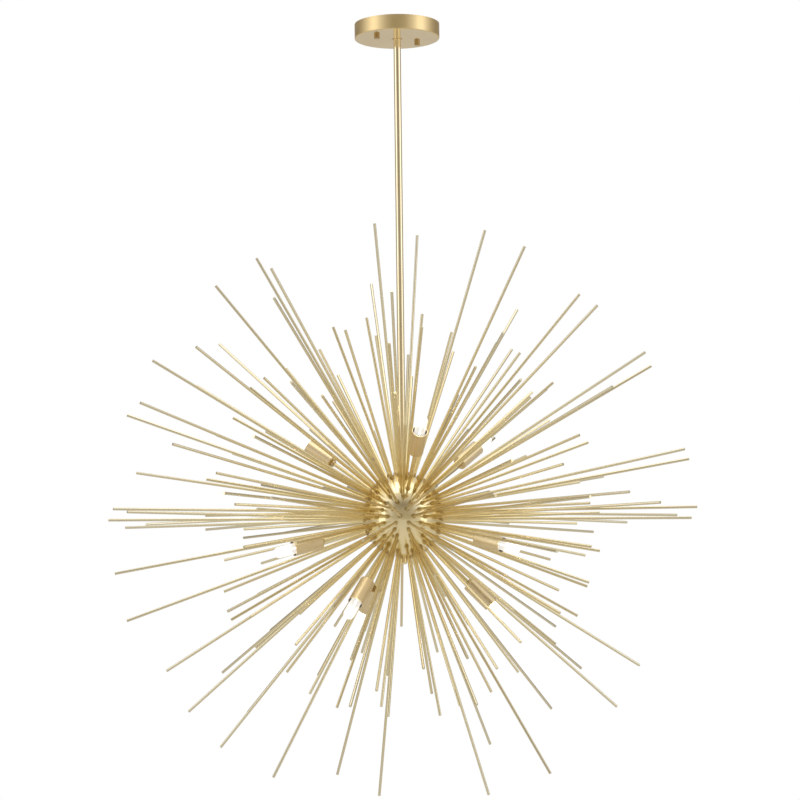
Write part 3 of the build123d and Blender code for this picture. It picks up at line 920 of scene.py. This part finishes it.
@dataclass
class Bulb:
    """One candelabra bulb's fittings, modelled along +Z from its contact, and copied to each lamp."""

    nodes: dict[str, Piece]
    seam_height: float
    aim_offset: float = 0.006
    cap_radius: float = 0.00595
    cap_length: float = 0.0170
    button_radius: float = 0.0016
    insulator_top: float = 0.0034
    thread_pitch: float = 0.00254
    thread_depth: float = 0.00055
    wave_steps: int = 8
    threaded: float = 0.0105
    mount_length: float = 0.015
    filament_radius: float = 0.00065
    filament_length: float = 0.026
    filament_turns: int = 26
    filament_sides: int = 5
    filament_steps: int = 9
    wire_radius: float = 0.0002
    wire_foot: float = 0.0008
    wire_spread: float = 0.0026
    slots: dict[str, str] = field(
        default_factory=lambda: {"insulator": "black_phenolic", "glass_mount": "bulb_glass"}
    )
    originals: dict[str, Piece] = field(default_factory=dict)

    def screw_cap(self) -> Piece:
        """The pressed brass cap: a rolled thread below a plain collar.

        Returns:
            The cap, from its insulator to the glass.
        """
        crest, root = self.cap_radius, self.cap_radius - self.thread_depth
        start = self.insulator_top - self.thread_pitch
        steps = self.wave_steps
        wave = [
            (
                root + (crest - root) * (0.5 - 0.5 * math.cos(2 * math.pi * step / steps)),
                start + self.thread_pitch * step / steps,
            )
            for step in range(steps + 1)
        ]
        cap = Bench.profile("cap_original", wave)
        bpy.ops.object.mode_set(mode="OBJECT")
        Bench.screw(cap, self.thread_pitch, math.ceil(self.threaded / self.thread_pitch) + 1, WIDE_FACES)
        top = self.insulator_top + self.threaded
        Bench.cut(cap, self.insulator_top, keep_above=True)
        Bench.cut(cap, top, keep_above=False)
        bpy.ops.object.mode_set(mode="EDIT")
        Bench.close_up(merge=1e-7)
        outline = [
            (0.0, top - 0.0003), (crest - 0.0009, top - 0.0003), (crest - 0.0003, top),
            (crest, top + 0.0004), (crest, self.cap_length - 0.0002), (crest - 0.0002, self.cap_length),
            (0.0, self.cap_length),
        ]
        collar = Bench.turn("collar_original", outline, WIDE_FACES)
        Bench.pick(cap)
        collar.select_set(True)
        bpy.ops.object.join()
        Bench.smooth(cap, 50.0)
        return cap

    def insulator(self) -> Piece:
        """The black glass between the cap and the contact button."""
        low, top = 0.0008, self.insulator_top
        foot, rim = self.button_radius, self.cap_radius
        outline = [
            (0.0, low), (foot + 0.0010, low), (foot + 0.0014, low + 0.0003),
            (rim - 0.0007, top - 0.0003), (rim - 0.0008, top + 0.0002), (0.0, top + 0.0002),
        ]
        piece = Bench.turn("insulator_original", outline, WIDE_FACES)
        Bench.smooth(piece)
        return piece

    def button(self) -> Piece:
        """The domed solder button at the bottom."""
        radius = self.button_radius
        arc = [
            (radius * math.sin(math.radians(angle)), 0.0007 * (1 - math.cos(math.radians(angle))))
            for angle in range(0, 91, 15)
        ]
        piece = Bench.turn("button_original", [*arc, (radius, 0.0010), (0.0, 0.0010)], SLIM_FACES)
        Bench.smooth(piece)
        return piece

    def mount(self) -> Piece:
        """The pressed glass stem that carries the wires."""
        base, top = self.cap_length, self.cap_length + self.mount_length
        outline = [
            (0.0, base + 0.0002), (0.0034, base + 0.0002), (0.0033, base + 0.0008),
            (0.0022, base + 0.0030), (0.0018, base + 0.0070), (0.0016, top - 0.0030),
            (0.0014, top - 0.0006), (0.0009, top - 0.0001), (0.0, top),
        ]
        piece = Bench.turn("mount_original", outline, SLIM_FACES)
        Bench.smooth(piece, 60.0)
        return piece

    def wires(self) -> Piece:
        """The two support wires, which rise from the stem, step out and hook over the filament's ends."""
        low = self.cap_length + self.mount_length - 0.0022
        ends = (low + 0.0030, low + 0.0030 + self.filament_length)
        wires = []
        for side, end in zip((-1, 1), ends):
            foot, out = side * self.wire_foot, side * self.wire_spread
            path = [(foot, low), (out, low + 0.0016), (out, end), (side * 0.0004, end + 0.0002)]
            wires.append(self.bent_wire(f"wire_{side}", path))
        Bench.pick(wires[0])
        wires[1].select_set(True)
        bpy.ops.object.join()
        Bench.smooth(wires[0], 60.0)
        return wires[0]

    def bent_wire(self, name: str, path: Outline) -> Piece:
        """A round wire through corners in the XZ plane.

        Args:
            name: the wire's name.
            path: its corners, as X and Z.

        Returns:
            The wire as a closed mesh.
        """
        wire = Bench.profile(name, path)
        bpy.ops.object.mode_set(mode="OBJECT")
        Bench.pick(wire)
        bpy.ops.object.convert(target="CURVE")
        curve = bpy.context.object
        curve.data.bevel_depth = self.wire_radius
        curve.data.bevel_resolution = 1
        curve.data.use_fill_caps = True
        bpy.ops.object.convert(target="MESH")
        return bpy.context.object

    def filament(self) -> Piece:
        """The coiled filament."""
        start = self.cap_length + self.mount_length + 0.0008
        pitch = (self.filament_length - 2 * self.wire_radius) / self.filament_turns
        Bench.clear()
        bpy.ops.mesh.primitive_circle_add(
            vertices=self.filament_sides,
            radius=self.wire_radius,
            location=(self.filament_radius, 0.0, start),
            rotation=(math.pi / 2, 0.0, 0.0),
        )
        coil = bpy.context.object
        coil.name = "filament_original"
        bpy.ops.object.transform_apply(location=True, rotation=True, scale=True)
        Bench.screw(coil, pitch, self.filament_turns, self.filament_steps)
        bpy.ops.object.mode_set(mode="EDIT")
        bpy.ops.mesh.select_all(action="DESELECT")
        bpy.ops.mesh.select_non_manifold()
        bpy.ops.mesh.edge_face_add()
        Bench.close_up(merge=1e-8)
        Bench.smooth(coil, 80.0)
        return coil

    def model(self) -> None:
        """Model each fitting once."""
        self.originals = {
            "screw_cap": self.screw_cap(),
            "insulator": self.insulator(),
            "solder_button": self.button(),
            "glass_mount": self.mount(),
            "support_wires": self.wires(),
            "filament": self.filament(),
        }
        for name, piece in self.originals.items():
            LOG.info("bulb %s: %d faces", name, len(piece.data.polygons))

    def dress(self) -> None:
        """Dress the originals, so that their copies wear the same."""
        finishes = {
            "screw_cap": PlainMetal("bulb_cap_brass", (0.86, 0.7, 0.42), (0.68, 0.5, 0.26), rough=0.2),
            "insulator": Moulded(
                "insulator_black_glass", (0.02, 0.018, 0.02), (0.01, 0.01, 0.01), rough=0.12
            ),
            "solder_button": PlainMetal("bulb_solder", (0.7, 0.7, 0.72), (0.5, 0.5, 0.52), rough=0.35),
            "glass_mount": MOUNT_GLASS,
            "support_wires": PlainMetal(
                "support_wire_nickel", (0.62, 0.6, 0.57), (0.42, 0.4, 0.38), rough=0.3
            ),
            "filament": HotWire("hot_filament"),
        }
        for name, finish in finishes.items():
            dress(self.originals[name], finish.material())

    def place(self, joints: list[dict]) -> None:
        """Copy the fittings to every lamp and give each bulb its glass.

        Args:
            joints: the frame's joints, whose bulb slides point along the lamps.
        """
        glass = BULB_GLASS.material()
        slides = [joint for joint in joints if joint["child"].startswith("bulb_")]
        for slide in slides:
            body = slide["child"]
            way = Vector(slide["axis"]).normalized()
            side = 1.0 if way.z > 0 else -1.0
            centre = Vector((0.0, 0.0, self.seam_height + side * self.aim_offset))
            start = nearest(self.nodes[f"{body}_base"], centre, way)
            turned = way.to_track_quat("Z", "Y").to_matrix().to_4x4()
            place = Matrix.Translation(centre + way * start) @ turned
            for name, original in self.originals.items():
                piece = Bench.copy(original, f"{body}_{name}", place)
                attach(piece, body)
                if name == "screw_cap":
                    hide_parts(f"{body}_base")
            dress(self.nodes[f"{body}_glass"], glass)
            LOG.info("%s: %d fittings placed", body, len(self.originals))
        for original in self.originals.values():
            bpy.data.objects.remove(original, do_unlink=True)


# ------------ Studio ------------


@dataclass(frozen=True)
class Softbox:
    """A large soft light, aimed at the hub."""

    name: str
    azimuth: float
    elevation: float
    distance: float
    width: float
    height: float
    power: float
    colour: Colour = (1.0, 1.0, 1.0)

    def place(self, target: Vector) -> None:
        """Hang the light.

        Args:
            target: the point it is aimed at.
        """
        turn, rise = math.radians(self.azimuth), math.radians(self.elevation)
        level = math.cos(rise)
        away = Vector((math.sin(turn) * level, -math.cos(turn) * level, math.sin(rise)))
        data = bpy.data.lights.new(self.name, "AREA")
        data.shape = "RECTANGLE"
        data.size = self.width
        data.size_y = self.height
        data.energy = self.power
        data.color = self.colour
        light = bpy.data.objects.new(self.name, data)
        light.location = target + away * self.distance
        light.rotation_euler = away.to_track_quat("Z", "Y").to_euler()
        light.visible_camera = False
        bpy.context.scene.collection.objects.link(light)


@dataclass
class Studio:
    """The floor, the surroundings, the lights and the camera."""

    hub: Vector
    floor_height: float = -2.45
    floor_radius: float = 30.0
    floor_fade: tuple[float, ...] = (0.42, 0.9)
    camera_distance: float = 5.0
    camera_drop: float = 4.5
    aim_up: float = 2.295
    aim_left: float = 0.03
    roll: float = -0.7
    lens: float = 129.7
    floor_colour: Colour = (0.76, 0.755, 0.745)
    ceiling: Colour = (1.05, 1.03, 1.0)
    skirting: Colour = (0.54, 0.50, 0.43)
    ground: Colour = (0.2, 0.18, 0.14)
    # The heights that each of these fades between, and its share at each
    skirting_fade: tuple[float, ...] = (0.02, 0.24, 0.6, 0.0)
    ground_fade: tuple[float, ...] = (-0.25, -0.9, 0.0, 0.75)
    ceiling_fade: tuple[float, ...] = (0.35, 0.95, 0.0, 0.85)
    seen_through_glass: float = 0.9
    wall_strength: float = 1.18
    warm_tint: Colour = (1.0, 0.86, 0.66)
    cool_tint: Colour = (1.0, 1.01, 1.12)
    cool_from: float = 0.85
    # The degrees round from straight in front, and how bright the wall is there
    walls: tuple[tuple[float, float], ...] = (
        (0.0, 0.24), (26.0, 0.24), (46.0, 0.85), (70.0, 1.0), (90.0, 0.75),
        (112.0, 0.25), (148.0, 0.2), (168.0, 0.36), (180.0, 0.48),
    )
    softboxes: tuple[Softbox, ...] = (
        Softbox("left_softbox", -66.0, 8.0, 3.4, 1.4, 2.6, 8.0),
        Softbox("right_softbox", 66.0, 8.0, 3.4, 1.4, 2.6, 8.0),
        Softbox("top_softbox", 0.0, 80.0, 3.0, 2.4, 2.4, 18.0, (1.0, 0.98, 0.95)),
    )

    def floor(self) -> None:
        """A wide pale floor, seen only from above, that fades into the room at its edge."""
        Bench.clear()
        bpy.ops.mesh.primitive_circle_add(
            vertices=96, radius=self.floor_radius, fill_type="NGON", location=(0, 0, self.floor_height)
        )
        floor = bpy.context.object
        floor.name = "studio_floor"
        bpy.ops.object.transform_apply(location=True, rotation=True, scale=True)
        material, sketch, shader = new_material("studio_floor_pale")
        settle(shader, Base_Color=(*self.floor_colour, 1.0), Roughness=0.85)
        out = next(node for node in material.node_tree.nodes if node.type == "OUTPUT_MATERIAL")
        away = sketch.vector_math("LENGTH", sketch.here()).outputs["Value"]
        start, end = (self.floor_radius * share for share in self.floor_fade)
        faded = sketch.spread(away, start, end, 0.0, 1.0)
        below = sketch.add("NewGeometry").outputs["Backfacing"]
        hidden = sketch.math("MAXIMUM", faded, below)
        clear = sketch.add("BsdfTransparent").outputs[0]
        pick = sketch.filled("MixShader", (hidden, shader.outputs[0], clear))
        sketch.link(pick.outputs[0], out.inputs["Surface"])
        dress(floor, material)

    def surroundings(self) -> None:
        """A white room to the eye, and a softly graded one to the metal."""
        world = bpy.data.worlds.new("studio_room")
        world.use_nodes = True
        bpy.context.scene.world = world
        sketch = Sketch(world.node_tree)
        back = next(node for node in world.node_tree.nodes if node.type == "BACKGROUND")
        x, y, z = sketch.split(sketch.add("TexCoord").outputs["Generated"])
        turned = sketch.math("ABSOLUTE", sketch.math("ARCTAN2", x, sketch.math("MULTIPLY", y, -1.0)))
        walls = sketch.add("ValToRGB")
        walls.color_ramp.interpolation = "B_SPLINE"
        self.paint_walls(walls.color_ramp)
        sketch.link(sketch.math("DIVIDE", turned, math.pi), walls.inputs[0])
        bright = sketch.scaled(walls.outputs[0], self.wall_strength)
        swept = sketch.blend(sketch.spread(z, *self.skirting_fade), bright, self.skirting)
        lower = sketch.blend(sketch.spread(z, *self.ground_fade), swept, self.ground)
        graded = sketch.blend(sketch.spread(z, *self.ceiling_fade), lower, self.ceiling)
        path = sketch.add("LightPath")
        through = sketch.math("MULTIPLY", path.outputs["Is Transmission Ray"], self.seen_through_glass)
        seen = sketch.math("MAXIMUM", path.outputs["Is Camera Ray"], through)
        sketch.link(sketch.blend(seen, graded, (1.0, 1.0, 1.0)), back.inputs["Color"])

    def paint_walls(self, ramp: bpy.types.ColorRamp) -> None:
        """Set the walls' brightness from straight in front, round either side, to straight behind.

        Args:
            ramp: the ramp to fill, whose end is half a turn away.
        """
        for degrees, _ in self.walls[1:-1]:
            ramp.elements.new(degrees / 180.0)
        for element, (_, level) in zip(ramp.elements, self.walls):
            share = min(1.0, level / self.cool_from)
            tints = zip(self.warm_tint, self.cool_tint)
            element.color = (*(level * (warm + (cool - warm) * share) for warm, cool in tints), 1.0)

    def camera(self) -> None:
        """The camera, a little below the hub and looking slightly up."""
        drop = math.radians(self.camera_drop)
        back = Vector((0.0, -math.cos(drop), -math.sin(drop)))
        data = bpy.data.cameras.new("studio_camera")
        data.lens = self.lens
        data.sensor_width = 36.0
        data.clip_start = 0.05
        data.clip_end = 200.0
        camera = bpy.data.objects.new("studio_camera", data)
        pitch = math.pi / 2 + math.radians(self.camera_drop + self.aim_up)
        aim = Matrix.Rotation(math.radians(self.aim_left), 4, "Z") @ Matrix.Rotation(pitch, 4, "X")
        rolled = aim @ Matrix.Rotation(math.radians(self.roll), 4, "Z")
        camera.matrix_world = Matrix.Translation(self.hub + back * self.camera_distance) @ rolled
        bpy.context.scene.collection.objects.link(camera)
        bpy.context.scene.camera = camera

    def build(self) -> None:
        """Set up the whole studio."""
        self.floor()
        self.surroundings()
        for softbox in self.softboxes:
            softbox.place(self.hub)
        self.camera()
        bpy.context.scene.view_settings.view_transform = "Standard"
        LOG.info("studio: floor, room, %d softboxes and camera", len(self.softboxes))


def main() -> None:
    """Load the frame, dress it, add the bulbs' fittings and set up the studio."""
    logging.basicConfig(level=logging.INFO, format="%(name)s: %(message)s")
    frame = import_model()
    nodes = frame["nodes"]
    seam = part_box("upper_hub_half")[0].z
    Canopy(nodes).dress()
    Stem(nodes).dress()
    Hub(nodes).dress()
    Rods(nodes, seam).dress()
    Lamps(nodes, seam).dress()
    bulb = Bulb(nodes, seam)
    bulb.model()
    bulb.dress()
    bulb.place(frame["joints"])
    Studio(Vector((0.0, 0.0, seam))).build()
    LOG.info("sizes written")


if __name__ == "__main__":
    main()
